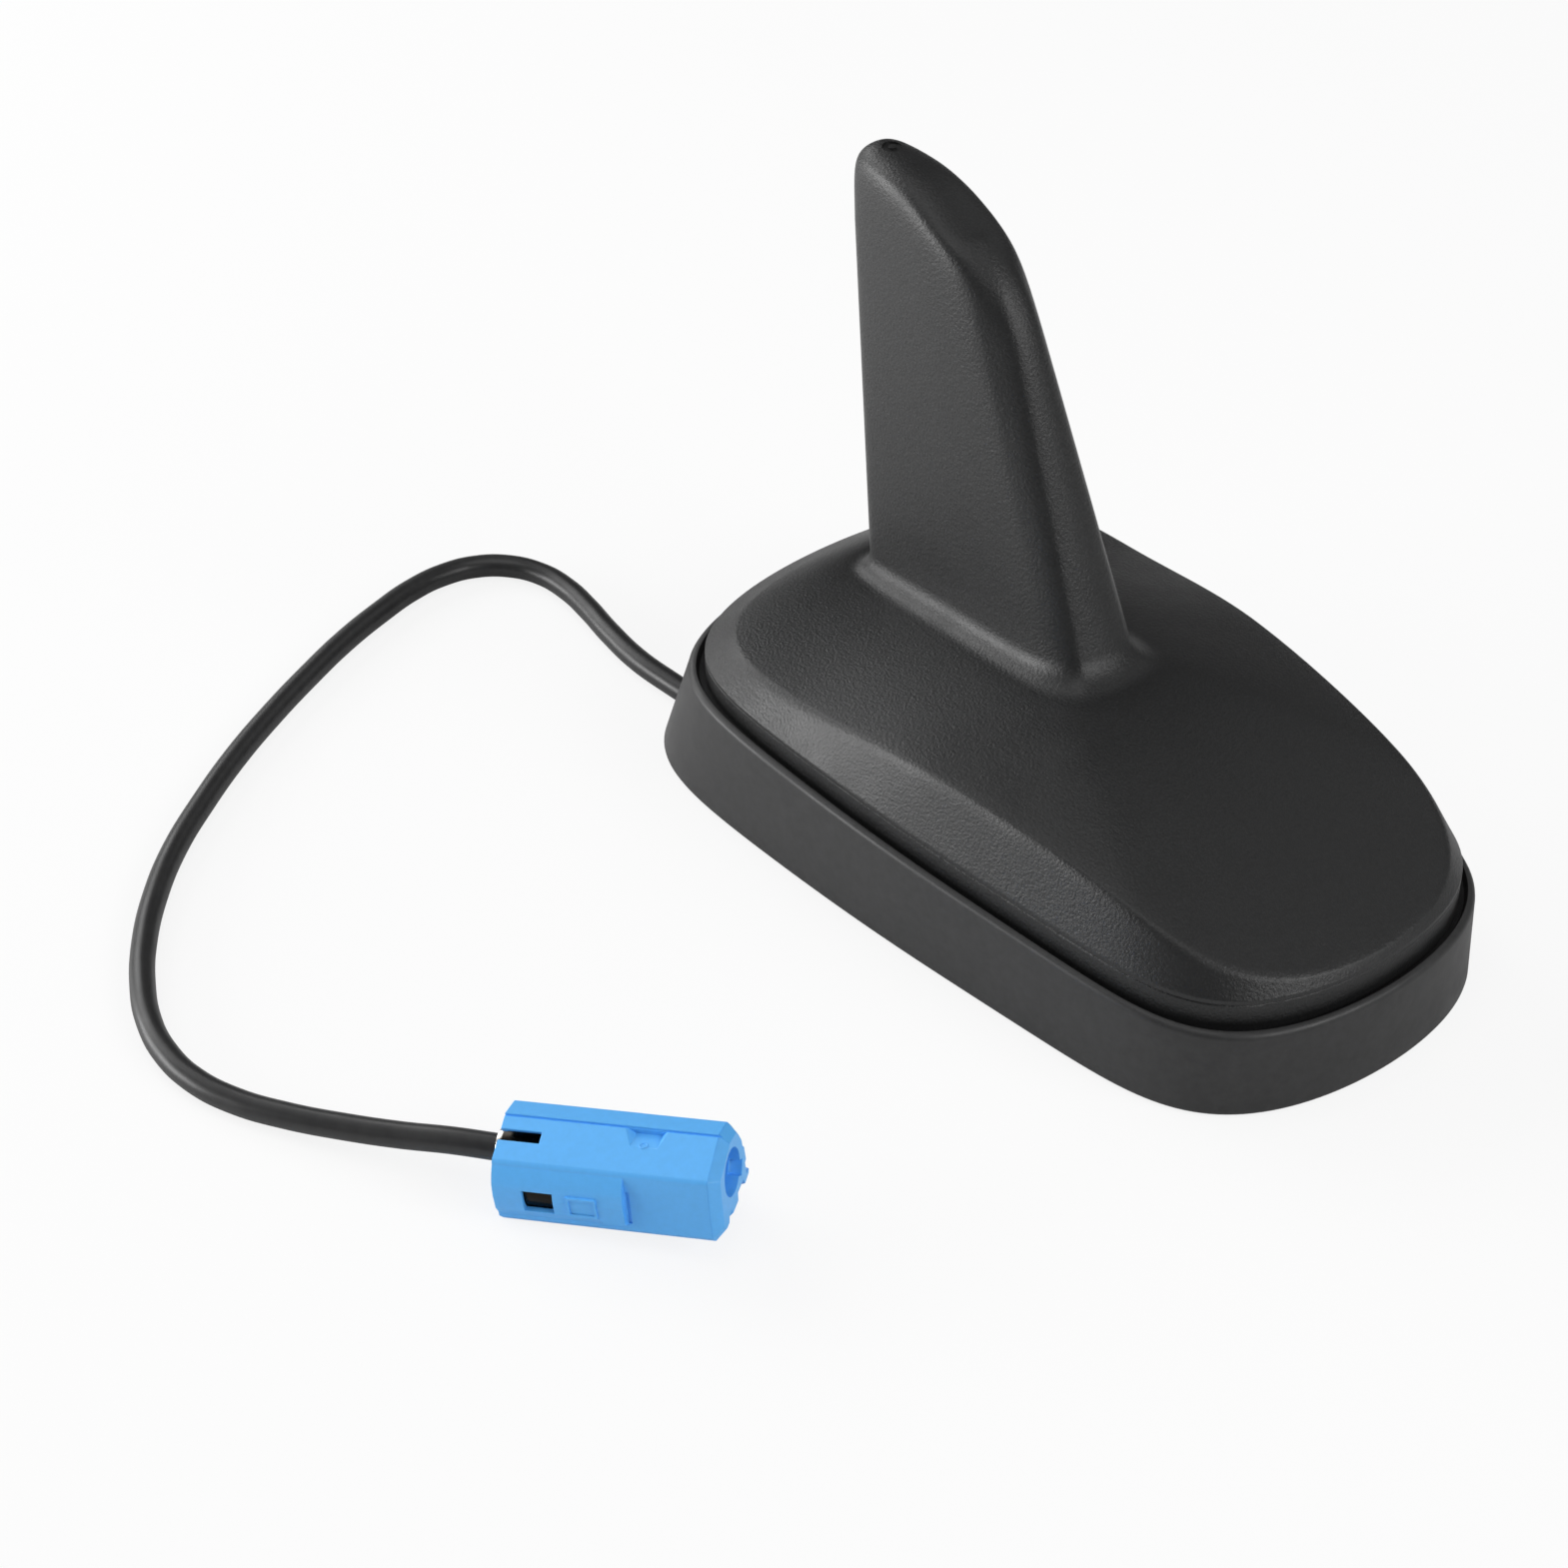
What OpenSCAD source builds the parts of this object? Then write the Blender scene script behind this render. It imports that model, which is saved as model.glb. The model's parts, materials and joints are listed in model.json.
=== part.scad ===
// Shark fin roof aerial: moulded fin cover on a wedge gasket, die-cast base, boards and coax lead
// Frame: origin on the roof plane at the centre of the foot, +X to the nose, +Z up, millimetres

/* [Foot and gasket] */
// Length of the rubber foot on the roof
foot_length = 106; // [98:1:114]
// Width of the rubber foot at its middle
foot_width = 60; // [56:1:64]
// Height of the gasket's lip above the foot's rear end
gasket_rear_height = 15.6; // [14:0.1:18]
// Height of the gasket's lip above the foot's front end
gasket_front_height = 11.3; // [10:0.1:13]
// How far the rear wall leans in from the foot to the lip
rear_set_in = 5.2; // [3:0.1:7]
// How far the front wall leans in from the foot to the lip
front_set_in = 0.6; // [0.2:0.1:2]
// How far the side walls lean in from the foot to the lip
side_set_in = 0.5; // [0:0.1:1.5]
// Width of the ledge between the lip and the cover
ledge_width = 1.7; // [1.4:0.1:2.6]
// Depth of the shelf that the cover stands on, below the lip
shelf_depth = 3.4; // [2.8:0.1:4]
// Radius of the gasket's outer edges
edge_radius = 0.8; // [0.4:0.1:1.2]

/* [Cover] */
// Wall thickness of the cover
wall = 2; // [1.6:0.1:2.3]
// Height of the upright band above the ledge
band_height = 2.7; // [2:0.1:3.5]
// Width of the sloping flank in plan at the sides
flank_width = 2.7; // [2.2:0.1:4]
// Width of the rounded shoulder in plan at the nose
nose_roll = 0.6; // [0.4:0.1:2]
// Width of the sloping flank in plan at the tail
tail_roll = 3.2; // [2:0.1:4.5]
// Height of the fin's tip above the roof
tip_height = 77.5; // [70:0.5:84]
// Length of the fin at its root
fin_root_length = 42.3; // [38:0.1:46]
// Length of the fin just below its cap
fin_tip_length = 27.8; // [25:0.1:31]
// Width of the fin at its root
fin_root_width = 12; // [10:0.1:14]
// Width of the fin just below its cap
fin_tip_width = 10.6; // [9:0.1:12]
// Distance from the foot's rear end to the fin's tail
fin_rear_gap = 17.5; // [15:0.5:20]
// How far the tail leans back over the fin's height
fin_lean = 3.9; // [2:0.1:6]
// Radius of the fillet round the fin's root
root_fillet = 2.8; // [2:0.1:3.6]
// Radius of the mould gate's ring on the tip
gate_radius = 1.2; // [0.8:0.1:1.6]

/* [Base plate] */
// Thickness of the die-cast plate
plate_thickness = 2.6; // [2.2:0.1:3]
// Height of the plate's underside above the roof
plate_height = 3.6; // [3.4:0.1:4.2]
// Play between neighbouring pieces
clearance = 0.3; // [0.2:0.05:0.4]
// Radius of the mounting boss
boss_radius = 6.5; // [6:0.1:7.5]
// Radius of the tapped hole
thread_radius = 2.5; // [2:0.05:2.6]
// Depth of the tapped hole
thread_depth = 6.6; // [5:0.1:7]
// Radius of the brass insert
insert_radius = 4; // [3.5:0.1:4.5]

/* [Boards] */
// Distance that the amplifier board is shorter than the foot
board_end_room = 49; // [46:1:52]
// Width of the amplifier board
board_width = 34; // [30:1:36]
// Thickness of both boards
board_thickness = 1.6; // [1:0.1:2]
// Height of the posts under the amplifier board
post_height = 2.8; // [2.4:0.1:3.4]
// Side of the square patch antenna
patch_size = 20; // [16:1:22]
// Thickness of the ceramic of the patch antenna
patch_thickness = 4; // [3:0.1:5]
// Height of the shield over the amplifier
can_height = 3.6; // [3:0.1:5]
// Length of the fin board's socket
holder_length = 11; // [9:0.5:13]
// Width of the fin board's socket
holder_width = 6; // [5:0.1:6.4]
// Height of the fin board's socket
holder_height = 4.5; // [3.5:0.1:5.5]

/* [Screws] */
// Radius of the cover screws' shanks
screw_radius = 1.25; // [1:0.05:1.5]
// Radius of the cover screws' heads
screw_head = 2.5; // [2:0.1:2.8]
// Height of the cover screws' heads
screw_head_height = 1.3; // [1:0.1:1.6]
// Length of the cover screws' shanks
screw_length = 8; // [6:0.5:9]
// Radius of the board screws' shanks
board_screw_radius = 0.9; // [0.8:0.05:1]
// Radius of the board screws' heads
board_screw_head = 2.1; // [1.8:0.1:2.4]
// Height of the board screws' heads
board_screw_head_height = 1.5; // [1.2:0.1:1.8]
// Length of the board screws' shanks
board_screw_length = 4; // [3:0.1:4.2]

/* [Lead] */
// Diameter of the coaxial cable
cable_d = 3; // [2.6:0.1:3.2]
// Length of the connector housing
housing_length = 24.8; // [23:0.5:28]
// Diameter of the connector's socket
socket_d = 5.3; // [5:0.1:5.6]
// Height of the locking ramp under the connector
ramp_height = 2.2; // [1.6:0.1:2.6]

/* [Hidden] */

// Points round each lofted ring, a multiple of ten for the fin's ten control points
ring_points = 80;
// Plan shape: narrowing to the nose, then the fullness of the corners
plan_shape = [-0.16, 0.36, -0.05, 0.53];

foot_half = foot_length / 2;
lip_half = foot_half - (rear_set_in + front_set_in) / 2;
lip_centre = (rear_set_in - front_set_in) / 2;
lip_half_width = foot_width / 2 - side_set_in;
cover_half = lip_half - ledge_width;
cover_half_width = lip_half_width - ledge_width;
lip_middle = (gasket_rear_height + gasket_front_height) / 2;
lip_slope = (gasket_rear_height - gasket_front_height) / foot_length;

function clamp(v, low, high) = min(max(v, low), high);
function mix(a, b, t) = a + (b - a) * t;
function lip_z(x) = lip_middle - lip_slope * x;

// Outline of the base in plan at angle a, from the nose anticlockwise
function plan(a, centre, half, half_width) = let (q = cos(a))
    [centre + half * q, half_width * sin(a) * (1 + plan_shape[0] * q + plan_shape[1] * q * q
        + plan_shape[2] * pow(q, 3) + plan_shape[3] * pow(q, 4))];
function foot_plan(a, inset) = plan(a, 0, foot_half - inset, foot_width / 2 - inset);
function lip_plan(a, inset) = plan(a, lip_centre, lip_half - inset, lip_half_width - inset);
function cover_plan(a, inset) = plan(a, lip_centre, cover_half - inset, cover_half_width - inset);

// Smooth curve through a short table of stations
function along(x, table) = let (
    last = len(table) - 1,
    inside = [for (k = [0 : last - 1]) if (x >= table[k][0]) k],
    i = len(inside) == 0 ? 0 : inside[len(inside) - 1],
    a = table[max(i - 1, 0)], b = table[i], c = table[i + 1], d = table[min(i + 2, last)],
    h = c[0] - b[0], u = clamp((x - b[0]) / h, 0, 1),
    m0 = (c[1] - a[1]) / (c[0] - a[0]) * h, m1 = (d[1] - b[1]) / (d[0] - b[0]) * h)
    b[1] * (1 + 2 * u) * pow(1 - u, 2) + m0 * u * pow(1 - u, 2)
        + c[1] * u * u * (3 - 2 * u) - m1 * u * u * (1 - u);

// Rise above the lip plane of the shoulder and of the crown, by place along the half length
shoulder_rise = [[-1, 3.9], [-0.45, 6.4], [0.05, 10], [0.6, 9.3], [1, 4.2]];
crown_rise = [[-0.8, 6.4], [-0.4, 10.3], [0, 13.3], [0.25, 14.9], [1, 15]];
// Curvature of the crown between shoulder and fin
crown_ease = 1.8;

function shoulder_plan(a, inset) = let (
    end = cos(a) > 0 ? nose_roll : tail_roll,
    side = mix(end, flank_width, pow(sin(a), 2)))
    plan(a, lip_centre, cover_half - side - inset, cover_half_width - flank_width - inset);
function shoulder(a, inset) = let (p = shoulder_plan(a, inset))
    [p[0], p[1], lip_z(p[0]) + along((p[0] - lip_centre) / cover_half, shoulder_rise) - inset];
function crown_z(x) = lip_z(x) + along((x - lip_centre) / cover_half, crown_rise);

// Half section of the fin at two heights: front strip, ridge, widest point, rear of the side, tail
fin_low_z = 26;
fin_high_z = tip_height - 11.5;
fin_tail = fin_rear_gap - foot_half;
function fin_half(tail, long, wide, section) = [for (p = section) [tail + p[0] * long, p[1] * wide / 2]];
fin_low = fin_half(fin_tail, fin_root_length, fin_root_width,
    [[1, 0.43], [0.985, 1], [0.79, 0.98], [0.13, 0.75], [0, 0.57]]);
fin_high = fin_half(fin_tail - fin_lean, fin_tip_length, fin_tip_width,
    [[1, 0.21], [0.965, 0.36], [0.75, 1], [0.19, 0.79], [0, 0.57]]);
fin_outward = [[1, 0.3], [0.9, 1], [0, 1], [-0.1, 1], [-1, 0.7]];

// Closed ring of control points, grown outwards by d
function fin_controls(half, d) = let (
    left = [for (k = [0 : 4]) half[k] + d * fin_outward[k]])
    concat(left, [for (k = [4 : -1 : 0]) [left[k][0], -left[k][1]]]);
function spline_point(c, i) = let (
    n = len(c), per = ring_points / n, k = floor(i / per), u = i / per - k,
    before = c[(k + n - 1) % n], at = c[k], after = c[(k + 1) % n])
    before * pow(1 - u, 2) / 2 + at * (0.5 + u - u * u) + after * u * u / 2;
function fin_point(i, z, d) = let (
    low = spline_point(fin_controls(fin_low, d), i),
    high = spline_point(fin_controls(fin_high, d), i),
    p = mix(low, high, (z - fin_low_z) / (fin_high_z - fin_low_z)))
    [p[0], p[1], z];
function root_z(i) = crown_z(spline_point(fin_controls(fin_low, 0), i)[0]);

// Drop below the tip of the cap's edge, from tail to front, and of its spine
cap_edge_drop = [[0, 2.7], [0.19, 1.7], [0.41, 2], [0.63, 3.6], [0.8, 6], [0.91, 9.2], [1, 12.3]];
spine = [for (p = [[0.12, 0], [0.41, 0.8], [0.68, 4.6]]) [fin_high[4][0] + p[0] * fin_tip_length, p[1]]];
function edge_z(i) = let (x = spline_point(fin_controls(fin_high, 0), i)[0])
    tip_height - along((x - fin_high[4][0]) / (fin_high[0][0] - fin_high[4][0]), cap_edge_drop);
function cap_point(i, turn, d) = let (
    edge = fin_point(i, edge_z(i) + d, d),
    x = clamp(edge[0], spine[0][0], spine[2][0]),
    z = mix(edge[2], tip_height - along(x, spine) + d, sin(turn)),
    side = fin_point(i, z, d))
    [mix(x, side[0], cos(turn)), side[1] * cos(turn), z];

// Rings of the cover's outside, from the foot to the tip
function angle(i) = 360 * i / ring_points;
function foot_point(i, inset) = let (p = cover_plan(angle(i), inset))
    [p[0], p[1], lip_z(p[0]) - shelf_depth];
function band_point(i) = let (p = cover_plan(angle(i), 0))
    [p[0], p[1], lip_z(p[0]) + band_height * (1 + 0.25 * p[0] / cover_half)];
function side_point(i) = let (p = cover_plan(angle(i), wall))
    [p[0], p[1], lip_z(p[0]) + band_height - wall];
function crown_point(i, t, inset) = let (
    from = shoulder(angle(i), inset),
    toe = fin_point(i, root_z(i) - inset, root_fillet - inset))
    [mix(from[0], toe[0], t), mix(from[1], toe[1], t),
        mix(from[2], toe[2], 1 - pow(1 - t, crown_ease))];
function shoulder_point(i, t) = let (
    a = mix(band_point(i), shoulder(angle(i), 0), 0.66),
    b = shoulder(angle(i), 0),
    c = crown_point(i, 0.04, 0))
    a * pow(1 - t, 2) + b * 2 * t * (1 - t) + c * t * t;
function fillet_point(i, turn) = fin_point(i, root_z(i) + root_fillet * (1 - cos(turn)),
    root_fillet * (1 - sin(turn)));
function wall_point(i, t) = fin_point(i, mix(root_z(i) + root_fillet, edge_z(i), t), 0);

points = [0 : ring_points - 1];
outside = concat(
    [[for (i = points) foot_point(i, 0)], [for (i = points) band_point(i)]],
    [[for (i = points) mix(band_point(i), shoulder(angle(i), 0), 0.4)]],
    [for (t = [0 : 0.25 : 1]) [for (i = points) shoulder_point(i, t)]],
    [for (t = [0.2, 0.4, 0.65, 0.88]) [for (i = points) crown_point(i, t, 0)]],
    [for (turn = [0 : 22.5 : 90]) [for (i = points) fillet_point(i, turn)]],
    [for (t = [0.2 : 0.2 : 1]) [for (i = points) wall_point(i, t)]],
    [for (turn = [15, 32, 50, 68, 82]) [for (i = points) cap_point(i, turn, 0)]]);
// Rings of the cavity, from its roof down to the foot
cavity = concat(
    [for (turn = [75, 35, 0]) [for (i = points) cap_point(i, turn, -wall)]],
    [for (t = [0, 1]) [for (i = points)
        fin_point(i, mix(edge_z(i) - 2 * wall, root_z(i) - wall, t), -wall)]],
    [for (t = [0.5, 0]) [for (i = points) crown_point(i, t, wall)]],
    [[for (i = points) side_point(i)], [for (i = points) foot_point(i, wall)]]);

// Triangles between neighbouring rings of n points
function strip_faces(rings, n, closed) = [for (r = [0 : rings - (closed ? 1 : 2)], i = [0 : n - 1])
    let (a = r * n + i, b = r * n + (i + 1) % n, s = ((r + 1) % rings) * n,
        c = s + (i + 1) % n, d = s + i) each [[a, c, b], [a, d, c]]];
// Triangles that close a ring across its plane of symmetry
function lid_faces(first, n, up) = [for (i = [0 : n / 2 - 1])
    let (a = first + i, b = first + i + 1, c = first + n - i - 1, d = first + (n - i) % n)
    each concat(i == 0 ? [] : [up ? [a, d, b] : [a, b, d]],
        i == n / 2 - 1 ? [] : [up ? [b, d, c] : [b, c, d]])];

module loft(rings) {
    n = len(rings[0]);
    polyhedron([for (r = rings) each r], concat(strip_faces(len(rings), n, false),
        lid_faces(0, n, false), lid_faces((len(rings) - 1) * n, n, true)), convexity = 8);
}

// Cover screws stand past the ends of the amplifier board
boss_wall = 1.6;
boss_outer = screw_radius + boss_wall;
board_x = 3;
board_length = foot_length - board_end_room;
screw_x = board_length / 2 + boss_outer + 0.6;
screw_places = [for (side = [-1, 1]) each
    [[board_x + screw_x, 8.5 * side], [board_x - screw_x, 11 * side]]];
plate_top = plate_height + plate_thickness;

// Height of the crown's outside nearest to a place in plan
function crown_above(place) = let (
    near = [for (i = points, t = [0 : 0.05 : 1]) let (p = crown_point(i, t, 0))
        [norm([p[0] - place[0], p[1] - place[1]]), p[2]]],
    best = min([for (p = near) p[0]]))
    [for (p = near) if (p[0] == best) p[1]][0];

module cover_boss(place) {
    dome = crown_above(place) - wall / 2 - boss_outer + 0.35;
    pilot = screw_length + screw_head_height - plate_thickness + 0.5;
    translate([place[0], place[1], 0]) difference() {
        union() {
            translate([0, 0, plate_top]) cylinder(r = boss_outer, h = dome - plate_top, $fn = 20);
            translate([0, 0, dome]) sphere(r = boss_outer, $fn = 20);
        }
        translate([0, 0, plate_top - 1]) cylinder(r = screw_radius, h = pilot + 1, $fn = 20);
        translate([0, 0, plate_top - 9]) cylinder(r = boss_outer + 1, h = 9, $fn = 20);
    }
}

// Sunken ring that the mould's gate leaves on the tip
module gate_mark() {
    depth = 0.3;
    translate([spine[0][0] + gate_radius / 2, 0, tip_height - depth]) difference() {
        cylinder(r = gate_radius, h = 2 * depth, $fn = 24);
        cylinder(r = gate_radius / 2.6, h = 0.9 * depth, $fn = 16);
    }
}

module fin_cover() {
    color("#2b2d2f") difference() {
        union() {
            loft(concat(cavity, outside));
            for (p = screw_places) cover_boss(p);
        }
        gate_mark();
    }
}

// Gasket: a wedge ring whose section is walked round from the foot's outer edge
flange_inset = 6.8;
plate_inset = 4.7;
seal_groove = 0.9;
function flat_ring(z, inset) = [for (i = points) let (p = foot_plan(angle(i), inset)) [p[0], p[1], z]];
function lip_ring(drop, inset) = [for (i = points) let (p = lip_plan(angle(i), inset))
    [p[0], p[1], lip_z(p[0]) - drop]];
function cover_ring(drop, inset) = [for (i = points) let (p = cover_plan(angle(i), inset))
    [p[0], p[1], lip_z(p[0]) - drop]];
function seat_ring(z, inset) = [for (i = points) let (p = cover_plan(angle(i), inset)) [p[0], p[1], z]];

gasket_rings = [
    flat_ring(0, edge_radius), flat_ring(edge_radius / 4, edge_radius / 4), flat_ring(edge_radius, 0),
    lip_ring(edge_radius, 0), lip_ring(edge_radius / 4, edge_radius / 4), lip_ring(0, edge_radius),
    cover_ring(0.5, 0), cover_ring(shelf_depth, 0),
    cover_ring(shelf_depth, plate_inset), seat_ring(plate_height, plate_inset),
    seat_ring(plate_height, flange_inset), seat_ring(seal_groove, flange_inset),
    seat_ring(seal_groove, 5.4), flat_ring(0, 6.4)];

// The lead runs straight under the foot, then along hand-chosen points to the connector
lead_start = [-18, -16.7, 2.15];
lead_gate = [-52, -20.6];
lead_turn = atan2(lead_gate[1] - lead_start[1], lead_gate[0] - lead_start[0]);

// Places its children s along the lead from its start, x to the rear end, at the given height
module along_lead(s, z) {
    translate([lead_start[0], lead_start[1], z]) rotate([0, 0, lead_turn])
        translate([s, 0, 0]) children();
}
module lead_slot(radius, top) {
    along_lead(8, top - radius) {
        translate([0, -radius, radius - top - 1]) cube([34, 2 * radius, top - radius + 1]);
        rotate([0, 90, 0]) cylinder(r = radius, h = 34, $fn = 24);
    }
}

module rubber_gasket() {
    color("#232426") difference() {
        polyhedron([for (r = gasket_rings) each r],
            strip_faces(len(gasket_rings), ring_points, true), convexity = 8);
        lead_slot(cable_d / 2 + 0.2, cable_d + 0.2);
    }
}

// Base plate with its boss, posts, screw holes and stiffening rim
boss_place = [6, 0];
post_places = [for (x = [-1, 1], y = [-1, 1])
    [board_x + x * (board_length / 2 - 4), y * (board_width / 2 - 3.5)]];
post_bore = board_screw_radius;
post_radius = 2.8;
cross_ribs = [-20, 22];
rim_height = 2.4;
board_z = plate_top + post_height;
boss_foot = 1.2;

module plate_outline(inset) {
    polygon([for (i = points) cover_plan(angle(i), plate_inset + clearance + inset)]);
}

module base_plate() {
    color("#9a9ca0") difference() {
        union() {
            translate([0, 0, plate_height]) linear_extrude(plate_thickness) plate_outline(0);
            translate([0, 0, plate_top]) linear_extrude(rim_height) difference() {
                plate_outline(0);
                plate_outline(1.8);
            }
            for (p = post_places) translate([p[0], p[1], plate_top])
                cylinder(r = post_radius, h = post_height, $fn = 32);
            translate([boss_place[0], boss_place[1], boss_foot])
                cylinder(r = boss_radius, h = board_z - boss_foot - clearance, $fn = 48);
            for (x = cross_ribs) translate([x - 0.6, -board_width / 2, plate_top])
                cube([1.2, board_width, 1.4]);
        }
        for (p = post_places) translate([p[0], p[1], plate_top - 1])
            cylinder(r = post_bore, h = post_height + 3, $fn = 24);
        translate([boss_place[0], boss_place[1], boss_foot - 1])
            cylinder(r = insert_radius, h = thread_depth + 1.6, $fn = 48);
        for (p = screw_places) translate([p[0], p[1], plate_height - 1]) {
            cylinder(r = screw_radius + 0.25, h = 9, $fn = 24);
            cylinder(r = screw_head + clearance, h = 1 + screw_head_height, $fn = 32);
            translate([0, 0, plate_thickness + 1]) cylinder(r = boss_outer + clearance, h = 9, $fn = 32);
        }
        along_lead(-pin_place - 2, plate_height - 1)
            translate([0, -ferrule_radius - clearance, 0])
                cube([pin_place + 9, 2 * (ferrule_radius + clearance), 2.2]);
        along_lead(-pin_place, plate_height) cylinder(r = 1.6, h = 9, $fn = 24);
    }
}

module thread_insert() {
    color("#b08d4a") translate([boss_place[0], boss_place[1], boss_foot]) difference() {
        cylinder(r = insert_radius, h = thread_depth + 0.6, $fn = 48);
        translate([0, 0, -1]) cylinder(r = thread_radius, h = thread_depth + 1, $fn = 48);
    }
}

module ground_ring() {
    teeth = 12;
    tooth = 0.5;
    color("#b9bbbd") translate([boss_place[0], boss_place[1], tooth]) difference() {
        union() {
            cylinder(r = boss_radius + 1.4, h = boss_foot - tooth, $fn = 48);
            for (k = [0 : teeth - 1]) rotate([0, 0, 360 * k / teeth])
                translate([boss_radius - 0.6, -0.7, -tooth]) cube([1.8, 1.4, tooth + 0.1]);
        }
        translate([0, 0, -1]) cylinder(r = insert_radius + 0.3, h = 4, $fn = 48);
    }
}

module mount_seal() {
    color("#303030") translate([boss_place[0], boss_place[1], 0]) difference() {
        cylinder(r = boss_radius + 5.5, h = plate_height, $fn = 64);
        translate([0, 0, -1]) cylinder(r = boss_radius + 1.8, h = plate_height + 2, $fn = 64);
        translate([0, 0, -1]) difference() {
            cylinder(r = boss_radius + 4.2, h = 1.8, $fn = 64);
            cylinder(r = boss_radius + 3.1, h = 1.8, $fn = 64);
        }
    }
}

// Electronics above the plate
ferrule_radius = 2.1;
ferrule_length = 8;
pin_place = ferrule_length + 1.6;
pin_radius = 0.5;
fin_board_thickness = 1.2;
patch_x = board_x + board_length / 2 - patch_size / 2 - 1.5;
holder_end = 0.8;
clip_width = 1;
holder_inset = holder_end + clip_width + 0.4;
fin_board_rear = board_x - board_length / 2 + 1.5;
fin_board_x = [fin_board_rear, fin_board_rear + holder_length + 2 * holder_inset];
board_top = board_z + board_thickness;

module amplifier_board() {
    color("#2f6b3a") difference() {
        translate([board_x - board_length / 2, -board_width / 2, board_z])
            cube([board_length, board_width, board_thickness]);
        for (p = post_places) translate([p[0], p[1], board_z - 1])
            cylinder(r = post_bore, h = board_thickness + 2, $fn = 24);
        along_lead(-pin_place, board_z - 1) cylinder(r = pin_radius, h = 4, $fn = 20);
    }
}

module shield_can() {
    sheet = 0.3;
    vent_pitch = 6;
    rear = board_x - board_length / 2 + 8;
    length = patch_x - patch_size / 2 - 1 - rear;
    width = board_width / 2 - 2 - holder_width / 2 - 1;
    vents = max(floor(length / vent_pitch), 1);
    color("#c5c7c9") translate([rear, holder_width / 2 + 1, board_top]) difference() {
        cube([length, width, can_height]);
        translate([sheet, sheet, -1])
            cube([length - 2 * sheet, width - 2 * sheet, can_height + 1 - sheet]);
        for (k = [1 : vents]) translate([length * k / (vents + 1), width / 2, can_height / 2])
            cylinder(r = 0.8, h = can_height, $fn = 16);
    }
}

module fin_board() {
    low = fin_low[4][0] + wall + 2;
    front_low = fin_low[0][0] - wall - 4;
    front_high = fin_high[0][0] - wall - 3.5;
    tail_high = fin_high[4][0] + wall + 1.6;
    step = board_top + holder_height;
    profile = [[fin_board_x[0] + holder_inset, board_top], [fin_board_x[1] - holder_inset, board_top],
        [fin_board_x[1] - holder_inset, step], [fin_board_x[1], step], [fin_board_x[1], 23.5],
        [front_low, fin_low_z + 2], [front_high, fin_high_z - 3], [front_high - 5, tip_height - 7.5],
        [tail_high, tip_height - 7.5], [low, fin_low_z - 3], [fin_board_x[0], 18], [fin_board_x[0], step],
        [fin_board_x[0] + holder_inset, step]];
    color("#2f6b3a") translate([0, fin_board_thickness / 2, 0]) rotate([90, 0, 0])
        linear_extrude(fin_board_thickness) polygon(profile);
}

module fin_board_holder() {
    lining = 1.2;
    side = holder_width / 2;
    color("#d8d4c6") translate([fin_board_x[0] + holder_inset, 0, board_top]) difference() {
        translate([-holder_end, -side, 0])
            cube([holder_length + 2 * holder_end, holder_width, holder_height]);
        translate([0, -fin_board_thickness / 2, -1])
            cube([holder_length, fin_board_thickness, holder_height + 2]);
        for (y = [-side - 1, fin_board_thickness / 2 + lining]) translate([1, y, 1.4])
            cube([holder_length - 2, side + 1 - fin_board_thickness / 2 - lining, holder_height]);
    }
}

module contact_clips() {
    sheet = 0.3;
    color("#c9a24e") for (x = [fin_board_x[0], fin_board_x[1] - clip_width])
        translate([x, fin_board_thickness / 2, board_top]) {
            cube([clip_width, sheet, holder_height + 2.5]);
            cube([clip_width, 2.4, sheet]);
        }
}

module top_load_cap() {
    length = 12;
    inner = fin_board_thickness / 2;
    sheet = 0.4;
    top = tip_height - 7.5;
    x0 = fin_high[4][0] + wall + 2.2;
    color("#cfd0d2") translate([x0, 0, top]) difference() {
        translate([0, -inner - sheet, -9]) cube([length, 2 * (inner + sheet), 9 + sheet]);
        translate([-1, -inner, -10]) cube([length + 2, 2 * inner, 10]);
    }
}

pad_thickness = 0.6;
feed_offset = 2;
module patch_antenna() {
    color("#d9cdb8") translate([patch_x, 0, board_top + pad_thickness]) difference() {
        translate([-patch_size / 2, -patch_size / 2, 0]) cube([patch_size, patch_size, patch_thickness]);
        translate([-feed_offset, 0, -1]) cylinder(r = 0.6, h = patch_thickness + 2, $fn = 20);
        for (side = [-1, 1]) translate([side * patch_size / 2, side * patch_size / 2, -1])
            rotate([0, 0, 45]) translate([-1, -1, 0]) cube([2, 2, patch_thickness + 2]);
    }
}

module patch_pad() {
    side = patch_size - 1;
    color("#e5e5e0") translate([patch_x, 0, board_top]) difference() {
        translate([-side / 2, -side / 2, 0]) cube([side, side, pad_thickness]);
        translate([-feed_offset, 0, -1]) cylinder(r = 1, h = 3, $fn = 20);
    }
}

module patch_pin() {
    color("#d4b25a") translate([patch_x - feed_offset, 0, board_top]) {
        cylinder(r = 0.5, h = pad_thickness + patch_thickness, $fn = 20);
        translate([0, 0, pad_thickness + patch_thickness]) cylinder(r = 1.1, h = 0.4, $fn = 20);
    }
}

module board_screws() {
    color("#c0c2c4") for (p = post_places) translate([p[0], p[1], board_top]) {
        difference() {
            cylinder(r = board_screw_head, h = board_screw_head_height, $fn = 32);
            translate([0, 0, board_screw_head_height / 2])
                cylinder(r = board_screw_radius, h = board_screw_head_height, $fn = 6);
        }
        translate([0, 0, -board_screw_length])
            cylinder(r = board_screw_radius, h = board_screw_length, $fn = 24);
    }
}

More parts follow.
